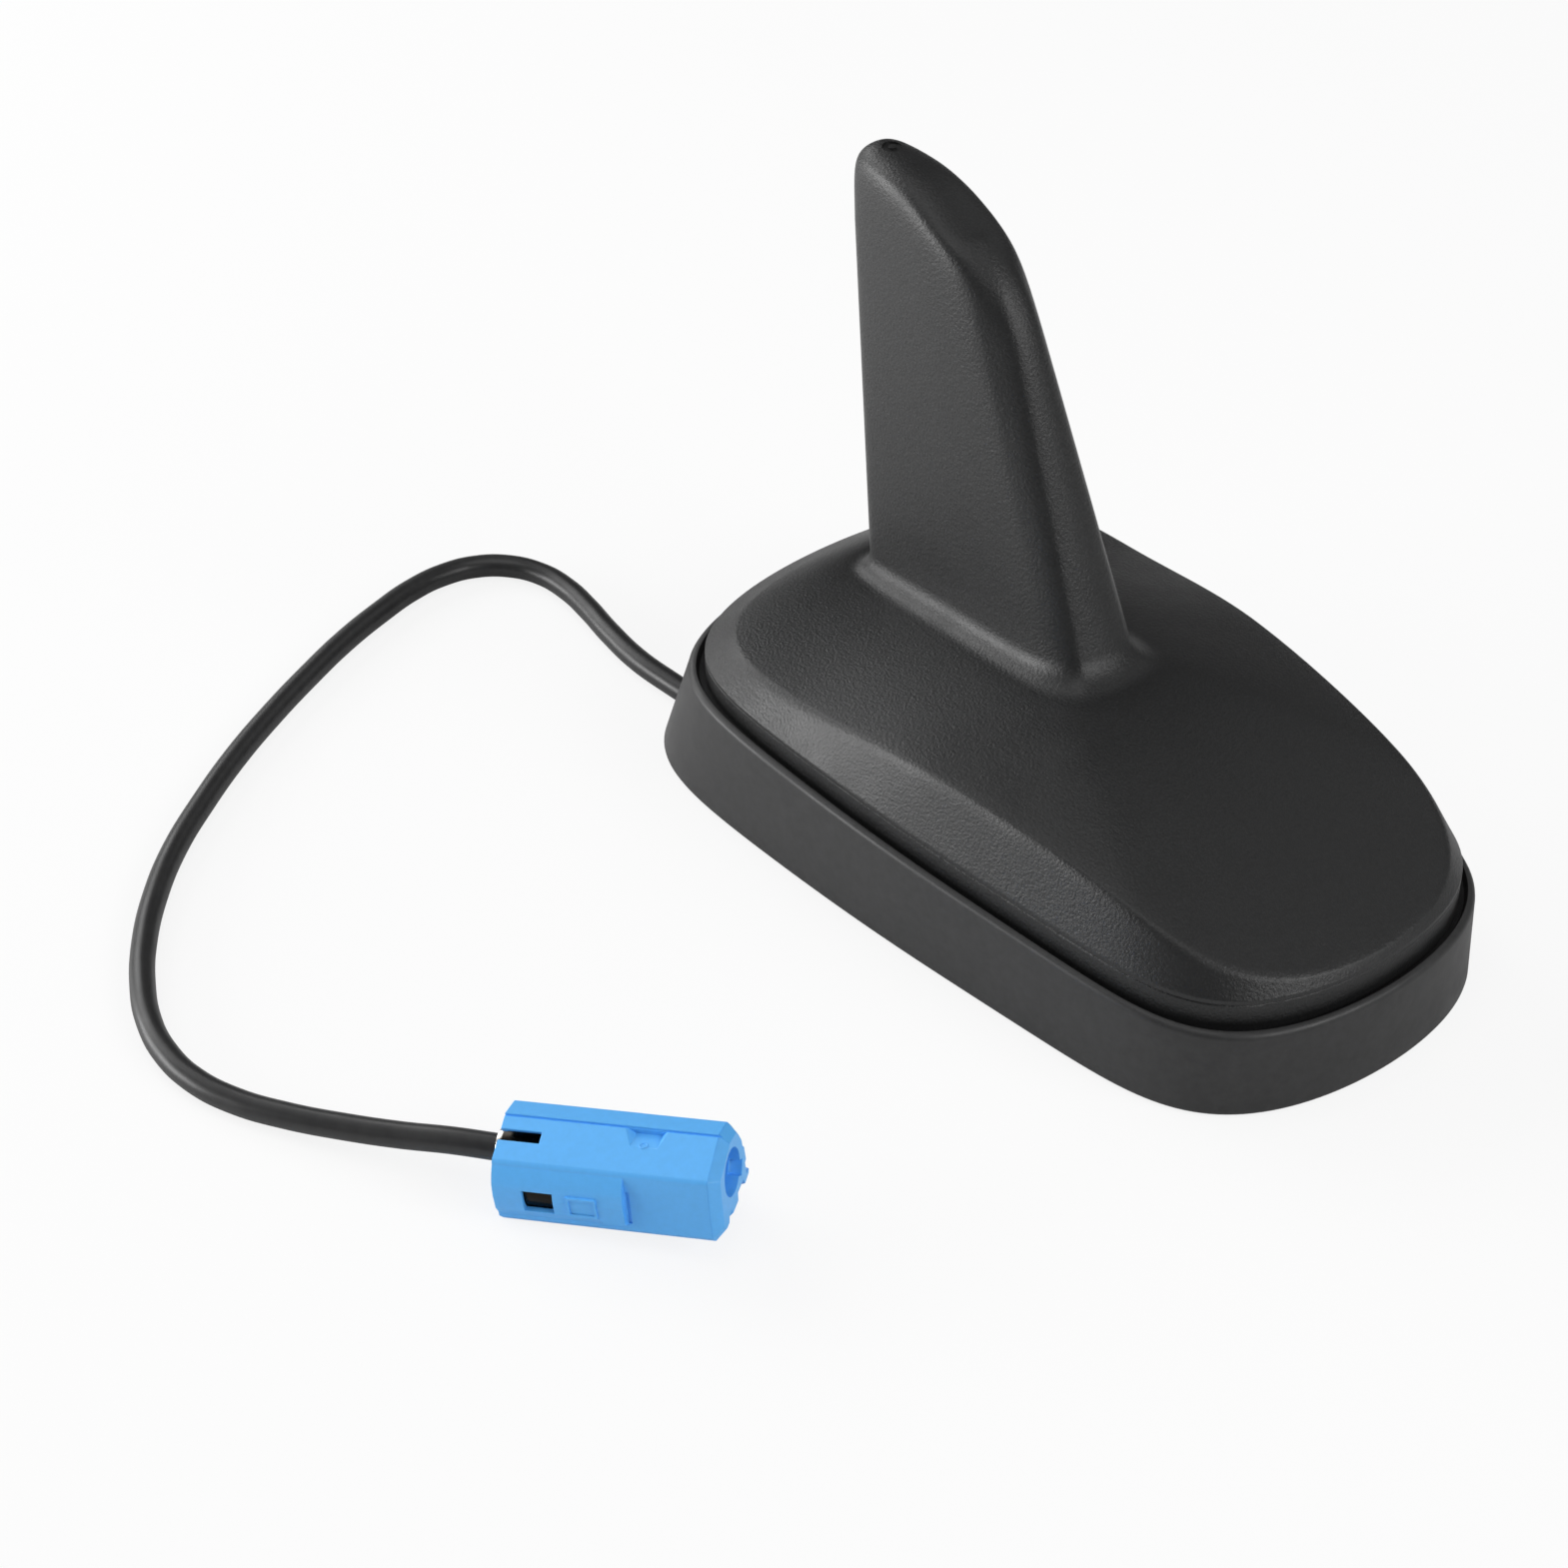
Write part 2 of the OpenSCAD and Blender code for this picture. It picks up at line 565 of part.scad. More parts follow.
module cover_screws() {
    socket = screw_head_height / 2;
    color("#8f9194") for (p = screw_places) translate([p[0], p[1], plate_height]) {
        difference() {
            cylinder(r = screw_head, h = screw_head_height, $fn = 32);
            translate([0, 0, -1]) cylinder(r = screw_head * 0.45, h = 1 + socket, $fn = 6);
        }
        translate([0, 0, screw_head_height]) cylinder(r = screw_radius, h = screw_length, $fn = 24);
    }
}

module cable_ferrule() {
    color("#c9cbcd") along_lead(-ferrule_length, lead_start[2]) rotate([0, 90, 0]) {
        cylinder(r = ferrule_radius, h = 2.5, $fn = 32);
        translate([0, 0, 2.5]) cylinder(r = ferrule_radius - 0.3, h = ferrule_length - 4, $fn = 32);
        translate([0, 0, ferrule_length - 1.5]) cylinder(r = ferrule_radius, h = 1.5, $fn = 32);
    }
}

// A strap under the lead, its foot against the plate
module cable_clamp() {
    sheet = 0.5;
    inner = cable_d / 2 + 0.05;
    foot = 4;
    rise = plate_height - lead_start[2];
    color("#b9bbbd") along_lead(1.5, lead_start[2]) difference() {
        union() {
            rotate([0, 90, 0]) cylinder(r = inner + sheet, h = 3, $fn = 40);
            translate([0, -inner - sheet, 0]) cube([3, 2 * (inner + sheet), rise]);
            translate([0, -inner - sheet - foot, rise - sheet]) cube([3, foot + 1, sheet]);
        }
        translate([-1, 0, 0]) rotate([0, 90, 0]) cylinder(r = inner, h = 5, $fn = 40);
        translate([-1, -inner, 0]) cube([5, 2 * inner, 9]);
    }
}

// From the ferrule's face up through the plate to the board
module lead_pin() {
    color("#d4b25a") along_lead(-pin_place, lead_start[2]) {
        rotate([0, 90, 0]) cylinder(r = pin_radius, h = pin_place - ferrule_length, $fn = 20);
        sphere(r = pin_radius, $fn = 20);
        cylinder(r = pin_radius, h = board_top + 0.6 - lead_start[2], $fn = 20);
    }
}

// The connector lies on its locking ramp, so its nose is raised
conn_rear = [8.6, -86.6];
conn_heading = 37;
ramp_place = 19;
housing_floor = 5.6;
conn_tilt = atan(ramp_height / ramp_place);
conn_ferrule = 0.8;
conn_lift = housing_floor * cos(conn_tilt);
conn_axis = [cos(conn_tilt) * cos(conn_heading), cos(conn_tilt) * sin(conn_heading), sin(conn_tilt)];
lead_end = [conn_rear[0], conn_rear[1], conn_lift] - conn_ferrule * conn_axis;

module at_connector() {
    translate([conn_rear[0], conn_rear[1], conn_lift])
        rotate([0, 0, conn_heading]) rotate([0, -conn_tilt, 0]) rotate([90, 0, 90]) children();
}

low_z = cable_d / 2 + 0.02;
lead_points = [
    [-18, -16.7, 2.15], [-23, -17.27, 2.15], [-28, -17.85, 1.9], [-33, -18.42, 1.6],
    [-38, -19, low_z], [-45, -19.8, low_z], [-52, -20.6, low_z], [-59, -21, low_z],
    [-66, -20.4, low_z], [-72, -19.5, low_z], [-77.3, -19.1, low_z], [-82.3, -19.8, low_z],
    [-86.4, -22.1, low_z], [-89.1, -25.8, low_z], [-90.1, -30.3, low_z], [-89.7, -35.3, low_z],
    [-88, -41.3, low_z], [-85.3, -48.6, low_z], [-81.8, -56, low_z], [-77.6, -64, low_z],
    [-72.8, -72.1, low_z], [-67.3, -80, low_z], [-61.8, -87, low_z], [-55.6, -93.2, low_z],
    [-48.9, -98.5, low_z], [-42.8, -102.2, low_z], [-36.8, -104.8, low_z], [-30.8, -106, low_z],
    [-25, -105.7, low_z], [-19.3, -103.9, 1.65], [-13.6, -101, 2.1], [-7.7, -97.4, 2.8],
    [-1.8, -93.6, 3.75], [3.1, -90.3, 4.75]];

function unit(v) = v / norm(v);
module coax_cable() {
    sides = 8;
    route = concat(lead_points, [lead_end]);
    last = len(route) - 1;
    ahead = [for (k = [0 : last]) k == last ? conn_axis
        : k == 0 ? [cos(lead_turn), sin(lead_turn), 0] : unit(route[k + 1] - route[k - 1])];
    rings = [for (k = [0 : last]) let (
        side = unit(cross([0, 0, 1], ahead[k])), up = cross(ahead[k], side))
        [for (j = [0 : sides - 1]) let (a = 360 * (j + 0.5) / sides)
            route[k] + cable_d / 2 * (cos(a) * side + sin(a) * up)]];
    ends = [[for (j = [0 : sides - 1]) j], [for (j = [sides - 1 : -1 : 0]) last * sides + j]];
    color("#161718") polyhedron([for (r = rings) each r],
        concat(strip_faces(last + 1, sides, false), ends), convexity = 8);
}

// Housing sections at the nose and at the barrel, x to the left and y up from the socket's axis
top_edge = [[3.5, 3.75], [0.65, 4.45], [0.65, 4.3]];
rib = [-1.8, 0.6];
nose_section = concat(top_edge, [[-4.6, 2.5], [-4.95, 0.4], [-5.5, -4.6], [-4.7, -housing_floor],
    [-3.6, -housing_floor], [-3.2, -4.7], [rib[0] - 0.3, -4.7], [rib[0], -housing_floor],
    [rib[1], -housing_floor], [rib[1] + 0.3, -4.5], [3.4, -4.5], [3.8, -housing_floor], [5.6, -5.4],
    [5.9, -4.7], [4.9, -4.6], [4.9, -2.8], [5.5, -2.7], [5.5, -0.6], [5, -0.5], [5, 1], [4.3, 2.6]]);
barrel_section = concat(top_edge, [[-4.1, 2.67], [-5.2, 1.4], [-5.8, 0.2], [-6.08, -1.2], [-6, -3],
    [-4.7, -housing_floor], [4.7, -housing_floor], [5.4, -4.8], [5.9, -2.5], [5.9, -0.5], [5.2, 2]]);
barrel_length = 14.4;
chamfer = 1.1;
side_face = -6;
bore_radius = 3.2;
shell_place = 7.5;
shell_bore = 2.1;
core_radius = 1.2;
contact_radius = 0.7;
insert_place = housing_length - 5.2;

// Bar with an outline drawn in place along the housing and height, lying across it from x0 to x1
module across(x0, x1) {
    translate([x0, 0, 0]) rotate([0, 90, 0]) linear_extrude(x1 - x0) mirror([1, 0]) children();
}

module connector_housing() {
    color("#4f93e0") at_connector() difference() {
        union() {
            linear_extrude(barrel_length) polygon(barrel_section);
            linear_extrude(housing_length - chamfer) polygon(nose_section);
            translate([0, 0, housing_length - chamfer - 0.01])
                linear_extrude(chamfer, scale = 0.8) polygon(nose_section);
            across(rib[0], rib[1]) translate([ramp_place, -housing_floor])
                polygon([[-5.5, 0], [0, -ramp_height], [1, -ramp_height], [1, 0]]);
            across(side_face, -4.8) translate([barrel_length, 0])
                polygon([[-3, -2.6], [-2.4, -3.7], [0, -3.6], [0, -2.6]]);
            across(side_face - 0.2, -5) difference() {
                polygon([[8.2, -2.85], [8.2, -0.3], [11.5, -0.3], [11.5, -2.85]]);
                polygon([[8.5, -2.55], [8.5, -0.6], [11.2, -0.6], [11.2, -2.55]]);
            }
        }
        translate([0, 0, -1]) cylinder(r = bore_radius, h = housing_length - 6, $fn = 48);
        translate([0, 0, -1]) cylinder(r = socket_d / 2, h = housing_length + 2, $fn = 48);
        rotate([0, 0, 24]) translate([-0.65, 2, -1]) cube([1.3, 5, 5.6]);
        across(side_face - 1, -2) polygon([[3.3, -2.9], [3.3, -0.3], [6.65, -0.3], [6.65, -2.9]]);
        across(-2.2, top_edge[2][0]) translate([barrel_length, 3.55])
            polygon([[-1.9, 1.5], [0.1, 0], [3.1, 0], [4.4, 1.5]]);
        rotate([0, 0, -34]) translate([1, -0.85, housing_length - 1.3]) cube([2.6, 1.7, 2]);
    }
}

module connector_ferrule() {
    color("#c9cbcd") at_connector() difference() {
        translate([0, 0, -conn_ferrule]) cylinder(r = 2.3, h = conn_ferrule + shell_place, $fn = 40);
        translate([0, 0, 2]) cylinder(r = core_radius, h = 9, $fn = 32);
    }
}

module connector_shell() {
    color("#c8b068") at_connector() difference() {
        union() {
            translate([0, 0, shell_place]) cylinder(r = bore_radius - 0.05, h = 3, $fn = 48);
            translate([0, 0, shell_place])
                cylinder(r = socket_d / 2 - 0.05, h = insert_place - shell_place - 0.1, $fn = 48);
        }
        translate([0, 0, shell_place - 1]) cylinder(r = shell_bore, h = 14, $fn = 40);
    }
}

module connector_insulator() {
    color("#eeeeea") at_connector() difference() {
        union() {
            translate([0, 0, 3]) cylinder(r = core_radius, h = shell_place - 2.5, $fn = 32);
            translate([0, 0, shell_place]) cylinder(r = shell_bore, h = 9, $fn = 40);
        }
        translate([0, 0, 2]) cylinder(r = contact_radius, h = 16, $fn = 24);
    }
}

module centre_contact() {
    color("#d4b25a") at_connector() translate([0, 0, 3]) {
        cylinder(r = contact_radius, h = 14.5, $fn = 24);
        translate([0, 0, 14.5]) cylinder(r = contact_radius - 0.25, h = 1.5, $fn = 20);
    }
}

module socket_insert() {
    color("#3f7fce") at_connector() difference() {
        translate([0, 0, insert_place]) cylinder(r = socket_d / 2 - 0.02, h = 2.6, $fn = 48);
        translate([-1, -1, insert_place - 1]) cube([2, 2, 5]);
    }
}

fin_cover();
rubber_gasket();
base_plate();
thread_insert();
ground_ring();
mount_seal();
amplifier_board();
shield_can();
fin_board();
fin_board_holder();
contact_clips();
top_load_cap();
patch_antenna();
patch_pad();
patch_pin();
board_screws();
cover_screws();
cable_ferrule();
cable_clamp();
lead_pin();
coax_cable();
connector_housing();
connector_ferrule();
connector_shell();
connector_insulator();
centre_contact();
socket_insert();
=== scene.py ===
import json
import math

import bmesh
import bpy
from mathutils import Matrix, Vector


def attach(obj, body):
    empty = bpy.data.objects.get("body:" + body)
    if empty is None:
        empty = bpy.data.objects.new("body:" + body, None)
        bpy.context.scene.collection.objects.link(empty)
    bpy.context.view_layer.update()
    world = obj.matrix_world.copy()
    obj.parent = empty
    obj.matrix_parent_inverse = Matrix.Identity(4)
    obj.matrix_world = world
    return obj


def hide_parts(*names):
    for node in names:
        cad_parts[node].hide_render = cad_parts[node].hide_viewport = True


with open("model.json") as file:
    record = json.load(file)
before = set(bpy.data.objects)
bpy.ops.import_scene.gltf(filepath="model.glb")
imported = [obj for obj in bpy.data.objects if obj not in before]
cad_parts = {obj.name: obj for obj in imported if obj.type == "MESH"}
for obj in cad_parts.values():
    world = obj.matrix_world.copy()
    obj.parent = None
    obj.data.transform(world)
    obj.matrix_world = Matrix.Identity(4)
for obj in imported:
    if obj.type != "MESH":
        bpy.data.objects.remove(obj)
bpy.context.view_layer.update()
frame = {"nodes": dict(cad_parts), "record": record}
mm = 0.001

# camera: place and lens of the photo, with the origin's pixel in the 1569 px frame
photo = {"azimuth": 52.19, "elevation": 38.09, "distance": 420.0, "lens": 80.0, "sensor": 36.0,
         "originPixel": (1066.8, 834.9), "frame": 1569.0, "clipStart": 0.01}

camData = bpy.data.cameras.new("photoCamera")
camData.lens = photo["lens"]
camData.sensor_width = photo["sensor"]
camData.clip_start = photo["clipStart"]
camera = bpy.data.objects.new("photoCamera", camData)
bpy.context.scene.collection.objects.link(camera)
turn = math.radians(photo["azimuth"])
lift = math.radians(photo["elevation"])
camera.rotation_euler = (math.pi / 2 - lift, 0, turn)
away = Vector((math.sin(turn) * math.cos(lift), -math.cos(turn) * math.cos(lift), math.sin(lift)))
right = Vector((math.cos(turn), math.sin(turn), 0))
upward = away.cross(right)
perPixel = photo["distance"] * photo["sensor"] / photo["lens"] / photo["frame"]
shiftX = (photo["originPixel"][0] - photo["frame"] / 2) * perPixel
shiftY = (photo["originPixel"][1] - photo["frame"] / 2) * perPixel
camera.location = (away * photo["distance"] - right * shiftX + upward * shiftY) * mm
bpy.context.scene.camera = camera
print("camera set")


def link(obj):
    bpy.context.scene.collection.objects.link(obj)
    return obj


# materials: all patterns on Object coordinates, so that they stay with the piece
grainLook = {"detail": 3.0, "rough": 0.6, "cloudScale": 180, "cloudDetail": 2.0, "bump": 0.8,
             "plasticGloss": (-0.03, 0.05), "metalGloss": (-0.06, 0.08), "metalBump": 0.3,
             "metalDepth": 0.01, "metalShade": 0.88, "low": 0.3, "high": 0.7}


def newMaterial(name, colour, roughness, metallic=0.0, specular=0.5):
    mat = bpy.data.materials.new(name)
    mat.use_nodes = True
    shader = shaderOf(mat)
    shader.inputs["Base Color"].default_value = (*colour, 1)
    shader.inputs["Roughness"].default_value = roughness
    shader.inputs["Metallic"].default_value = metallic
    shader.inputs["Specular IOR Level"].default_value = specular
    return mat


def shaderOf(mat):
    return mat.node_tree.nodes["Principled BSDF"]


def addNode(tree, kind, operation=None, **values):
    node = tree.nodes.new(kind)
    if operation:
        node.operation = operation
    for key, value in values.items():
        node.inputs[key.replace("_", " ")].default_value = value
    return node


def join(tree, source, output, target, entry):
    tree.links.new(source.outputs[output], target.inputs[entry])


def noise(tree, scale, detail, rough=0.5):
    place = addNode(tree, "ShaderNodeTexCoord")
    node = addNode(tree, "ShaderNodeTexNoise", Scale=scale, Detail=detail, Roughness=rough)
    join(tree, place, "Object", node, "Vector")
    return node


def finish(mat, colourNoise, dark, light, roughNoise, roughness, gloss, depth, strength):
    # a mottled colour, an uneven gloss and a fine relief
    tree, shader = mat.node_tree, shaderOf(mat)
    low, high = grainLook["low"], grainLook["high"]
    ramp = addNode(tree, "ShaderNodeValToRGB")
    for stop, place, colour in zip(ramp.color_ramp.elements, (low, high), (dark, light)):
        stop.position = place
        stop.color = (*colour, 1)
    join(tree, colourNoise, "Fac", ramp, "Fac")
    join(tree, ramp, "Color", shader, "Base Color")
    uneven = addNode(tree, "ShaderNodeMapRange", From_Min=low, From_Max=high,
                     To_Min=roughness + gloss[0], To_Max=roughness + gloss[1])
    join(tree, roughNoise, "Fac", uneven, "Value")
    join(tree, uneven, "Result", shader, "Roughness")
    bump = addNode(tree, "ShaderNodeBump", Strength=strength, Distance=depth * mm)
    join(tree, colourNoise, "Fac", bump, "Height")
    join(tree, bump, "Normal", shader, "Normal")
    return mat


def grainedPlastic(name, colour, roughness, grain, depth, mottle=0.2):
    mat = newMaterial(name, colour, roughness)
    fine = noise(mat.node_tree, 1 / (grain * mm), grainLook["detail"], grainLook["rough"])
    clouds = noise(mat.node_tree, grainLook["cloudScale"], grainLook["cloudDetail"])
    darker = [c * (1 - mottle) for c in colour]
    lighter = [c * (1 + mottle) for c in colour]
    return finish(mat, fine, darker, lighter, clouds, roughness, grainLook["plasticGloss"], depth,
                  grainLook["bump"])


def metal(name, colour, roughness, grain=0.4):
    mat = newMaterial(name, colour, roughness, 1.0)
    fine = noise(mat.node_tree, 1 / (grain * mm), grainLook["detail"])
    darker = [c * grainLook["metalShade"] for c in colour]
    return finish(mat, fine, darker, colour, fine, roughness, grainLook["metalGloss"],
                  grainLook["metalDepth"], grainLook["metalBump"])


def paintShadeInside(mat, start, end, axis, shadeColour):
    # painted shade: the colour falls to near black along the axis, inside the housing, where the metal lies in
    # shade
    tree, shader = mat.node_tree, shaderOf(mat)
    outer = shader.inputs["Base Color"].links[0].from_socket
    axial = addNode(tree, "ShaderNodeVectorMath", "DOT_PRODUCT")
    axial.inputs[1].default_value = axis
    join(tree, addNode(tree, "ShaderNodeTexCoord"), "Object", axial, 0)
    fade = addNode(tree, "ShaderNodeMapRange", From_Min=start, From_Max=end)
    join(tree, axial, "Value", fade, "Value")
    blend = addNode(tree, "ShaderNodeMixRGB")
    blend.inputs[2].default_value = (*shadeColour, 1)
    join(tree, fade, "Result", blend, "Fac")
    tree.links.new(outer, blend.inputs[1])
    join(tree, blend, "Color", shader, "Base Color")


# plastics: colour, roughness, grain and its depth in mm, mottle; metals: colour, roughness, grain
finishes = {
    "cover_plastic": grainedPlastic("coverPlastic", (0.0107, 0.0109, 0.0112), 0.4, 0.35, 0.1),
    "gasket_rubber": grainedPlastic("gasketRubber", (0.02, 0.02, 0.0205), 0.46, 1.2, 0.012),
    "seal_rubber": grainedPlastic("sealRubber", (0.02, 0.02, 0.02), 0.6, 0.8, 0.02),
    "die_cast": metal("dieCast", (0.55, 0.55, 0.56), 0.5, 0.6),
    "insert_brass": metal("insertBrass", (0.72, 0.53, 0.27), 0.3),
    "zinc_steel": metal("zincSteel", (0.66, 0.67, 0.68), 0.3),
    "board_laminate": grainedPlastic("boardLaminate", (0.03, 0.16, 0.06), 0.4, 0.8, 0.01),
    "tinned_sheet": metal("tinnedSheet", (0.72, 0.72, 0.72), 0.28),
    "gold_contact": metal("goldContact", (0.83, 0.64, 0.28), 0.25),
    "ceramic": grainedPlastic("firedCeramic", (0.62, 0.55, 0.44), 0.6, 0.4, 0.02),
    "natural_plastic": grainedPlastic("naturalPlastic", (0.62, 0.6, 0.53), 0.45, 0.8, 0.01),
    "pad_foam": grainedPlastic("padFoam", (0.7, 0.7, 0.68), 0.8, 0.3, 0.05),
    "cable_jacket": grainedPlastic("cableJacket", (0.017, 0.017, 0.0175), 0.38, 1.5, 0.004),
    "housing_blue": grainedPlastic("housingBlue", (0.108, 0.46, 0.96), 0.42, 0.9, 0.006, 0.03),
    "nickel": metal("nickel", (0.74, 0.73, 0.7), 0.22),
    "insulator_white": grainedPlastic("insulatorWhite", (0.8, 0.8, 0.77), 0.4, 0.8, 0.005, 0.04),
}
slotOf = {entry["node"]: entry["material_slot"] for entry in frame["record"]["subparts"]}
for name, obj in frame["nodes"].items():
    for place in obj.material_slots:
        place.material = finishes[slotOf[name]]
print("materials made:", len(finishes))


def madeFrom(bm, name):
    mesh = bpy.data.meshes.new(name)
    bm.to_mesh(mesh)
    bm.free()
    return link(bpy.data.objects.new(name, mesh))


def ringLoft(name, rings, closed=False):
    # each ring is extruded from the last one, and its points are placed by a formula
    bm = bmesh.new()
    ring = bmesh.ops.create_circle(bm, segments=len(rings[0]), radius=1)["verts"]
    start = list(ring)

    def edgesOf(loop):
        return [bm.edges.get((loop[i - 1], loop[i])) for i in range(len(loop))]

    for vert, point in zip(ring, rings[0]):
        vert.co = Vector(point) * mm
    for points in rings[1:]:
        made = bmesh.ops.extrude_edge_only(bm, edges=edgesOf(ring))["geom"]
        new = set(part for part in made if isinstance(part, bmesh.types.BMVert))
        ring = [next(e.other_vert(v) for e in v.link_edges if e.other_vert(v) in new) for v in ring]
        for vert, point in zip(ring, points):
            vert.co = Vector(point) * mm
    if closed:
        bmesh.ops.bridge_loops(bm, edges=edgesOf(start) + edgesOf(ring))
    else:
        for loop in (start, ring):
            n = len(loop)
            for i in range(n // 2):
                corners = [loop[i], loop[i + 1], loop[n - i - 1], loop[(n - i) % n]]
                bm.faces.new(list(dict.fromkeys(corners)))
    bmesh.ops.recalc_face_normals(bm, faces=bm.faces)
    obj = madeFrom(bm, name)
    if sum(poly.area * poly.normal.dot(poly.center) for poly in obj.data.polygons) < 0:
        obj.data.flip_normals()
    return obj


def carve(obj, bm, overlaps=False):
    # takes the closed shapes in bm away from the piece, whose own shapes may overlap
    bmesh.ops.recalc_face_normals(bm, faces=bm.faces)
    cutter = madeFrom(bm, "cutter")
    step = obj.modifiers.new("carve", "BOOLEAN")
    step.operation = "DIFFERENCE"
    step.solver = "EXACT"
    step.use_self = overlaps
    step.object = cutter
    carved = bpy.data.meshes.new_from_object(obj.evaluated_get(bpy.context.evaluated_depsgraph_get()))
    obj.modifiers.clear()
    whole, cutterMesh = obj.data, cutter.data
    obj.data = carved
    bpy.data.meshes.remove(whole)
    bpy.data.objects.remove(cutter)
    bpy.data.meshes.remove(cutterMesh)


def smooth(obj, angle):
    for poly in obj.data.polygons:
        poly.use_smooth = True
    obj.data.set_sharp_from_angle(angle=math.radians(angle))
    return obj


def dress(obj, slot, node):
    obj.data.materials.clear()
    obj.data.materials.append(finishes[slot])
    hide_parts(node)
    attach(obj, "root")
    return obj


# foot and lip: half lengths, heights and insets in mm, as in the CAD but for the dip
base = {"footHalf": 53.0, "footHalfWidth": 30.0, "rearHeight": 15.6, "frontHeight": 11.3,
        "rearSetIn": 5.2, "frontSetIn": 0.6, "sideSetIn": 0.5,
        "ledge": 1.7, "dip": 1.0, "dipStart": 1.4, "dipShare": 0.8, "shelf": 3.4,
        "edgeRadius": 0.8, "edgeSteps": 5, "wallRings": (0.25, 0.5, 0.75),
        "flange": 6.8, "plateInset": 4.7, "plateHeight": 3.6,
        "grooveHeight": 0.9, "grooveInset": 5.4, "openingInset": 6.4,
        "planShape": (-0.16, 0.36, -0.05, 0.53), "ringPoints": 240, "smooth": 35}
base["lipHalf"] = base["footHalf"] - (base["rearSetIn"] + base["frontSetIn"]) / 2
base["lipCentre"] = (base["rearSetIn"] - base["frontSetIn"]) / 2
base["lipHalfWidth"] = base["footHalfWidth"] - base["sideSetIn"]
base["coverHalf"] = base["lipHalf"] - base["ledge"]
base["coverHalfWidth"] = base["lipHalfWidth"] - base["ledge"]
slope = (base["rearHeight"] - base["frontHeight"]) / (2 * base["footHalf"])
count = base["ringPoints"]
around = range(count)


def mix(a, b, t):
    return a + (b - a) * t


def clamp(value, low, high):
    return min(max(value, low), high)


def steps(low, high, n):
    return [low + (high - low) * k / n for k in range(n + 1)]


def angleAt(i):
    return 2 * math.pi * i / count


def ringOf(place, *values):
    return [place(i, *values) for i in around]


def lipZ(x):
    return (base["rearHeight"] + base["frontHeight"]) / 2 - slope * x


def planPoint(angle, centre, half, halfWidth):
    q = math.cos(angle)
    c = base["planShape"]
    fullness = 1 + c[0] * q + c[1] * q ** 2 + c[2] * q ** 3 + c[3] * q ** 4
    return centre + half * q, halfWidth * math.sin(angle) * fullness


def footPlan(angle, inset):
    return planPoint(angle, 0, base["footHalf"] - inset, base["footHalfWidth"] - inset)


def lipPlan(angle, inset):
    return planPoint(angle, base["lipCentre"], base["lipHalf"] - inset, base["lipHalfWidth"] - inset)


def coverPlan(angle, inset):
    return planPoint(angle, base["lipCentre"], base["coverHalf"] - inset, base["coverHalfWidth"] - inset)


def along(x, table):
    # a smooth curve through the table's points
    last = len(table) - 1
    i = max([k for k in range(last) if x >= table[k][0]], default=0)
    a, b, c, d = table[max(i - 1, 0)], table[i], table[i + 1], table[min(i + 2, last)]
    h = c[0] - b[0]
    u = clamp((x - b[0]) / h, 0, 1)
    m0 = (c[1] - a[1]) / (c[0] - a[0]) * h
    m1 = (d[1] - b[1]) / (d[0] - b[0]) * h
    return (b[1] * (1 + 2 * u) * (1 - u) ** 2 + m0 * u * (1 - u) ** 2
            + c[1] * u * u * (3 - 2 * u) - m1 * u * u * (1 - u))


# cover: band, flank, dome, root and fin, with its sections as (share of length, share of half width)
cover = {"wall": 2.0, "bandHeight": 2.7, "bandGrowth": 0.25, "flankWidth": 2.7, "noseRoll": 0.6,
         "tailRoll": 3.2, "tip": 77.5, "fillet": 2.8, "crownEase": 1.5, "rollStart": 0.78, "rollEnd": 0.03,
         "rollSteps": 10, "filletSteps": 8, "finSteps": 10, "capSteps": 10, "smooth": 40,
         "shoulderRise": ((-1, 3.9), (-0.45, 6.4), (0.05, 10), (0.6, 9.3), (1, 4.2)),
         "crownRise": ((-0.8, 6.4), (-0.4, 10.3), (0, 13.3), (0.25, 14.9), (1, 15)),
         "lowZ": 26.0, "highZ": 66.0,
         "tailLow": -35.5, "rootLength": 42.3, "rootWidth": 12.0,
         "rootSection": ((1, 0.3), (0.975, 0.86), (0.81, 1.07), (0.13, 0.75), (0, 0.57)),
         "tailHigh": -39.4, "tipLength": 27.8, "tipWidth": 10.6,
         "tipSection": ((1, 0.21), (0.965, 0.48), (0.79, 0.99), (0.19, 0.79), (0, 0.57)),
         "outward": ((1, 0.3), (0.9, 1), (0, 1), (-0.1, 1), (-1, 0.7)),
         "capDrop": ((0, 2.9), (0.19, 2), (0.41, 2.3), (0.63, 3.8), (0.8, 6.1), (0.91, 9.2), (1, 12.3)),
         "spine": ((0.12, -0.2), (0.41, 0.6), (0.68, 4.3)),
         "lowBand": (0, 0.5), "highBand": (0.97, 1), "lowFlank": (0.04, 0.25, 0.5),
         "crownRings": (0.13, 0.2, 0.3, 0.4, 0.5, 0.6, 0.7, 0.8, 0.9, 0.97),
         "finStart": 0.08, "finMiddle": 0.86, "finTop": (0.89, 0.92, 0.94, 0.96, 0.98, 1),
         "capStart": 8, "capEnd": 88, "hollowCap": (75, 35, 0), "hollowCrown": (0.5, 0),
         "softRings": 17, "softRounds": 40,
         "partingLevel": 0.8, "partingWidth": 0.24, "partingDepth": 0.12, "partingReach": 1.2,
         "gateRadius": 1.2, "gatePost": 0.46, "gateDepth": 0.3}
cover["finLow"] = [(cover["tailLow"] + a * cover["rootLength"], b * cover["rootWidth"] / 2)
                   for a, b in cover["rootSection"]]
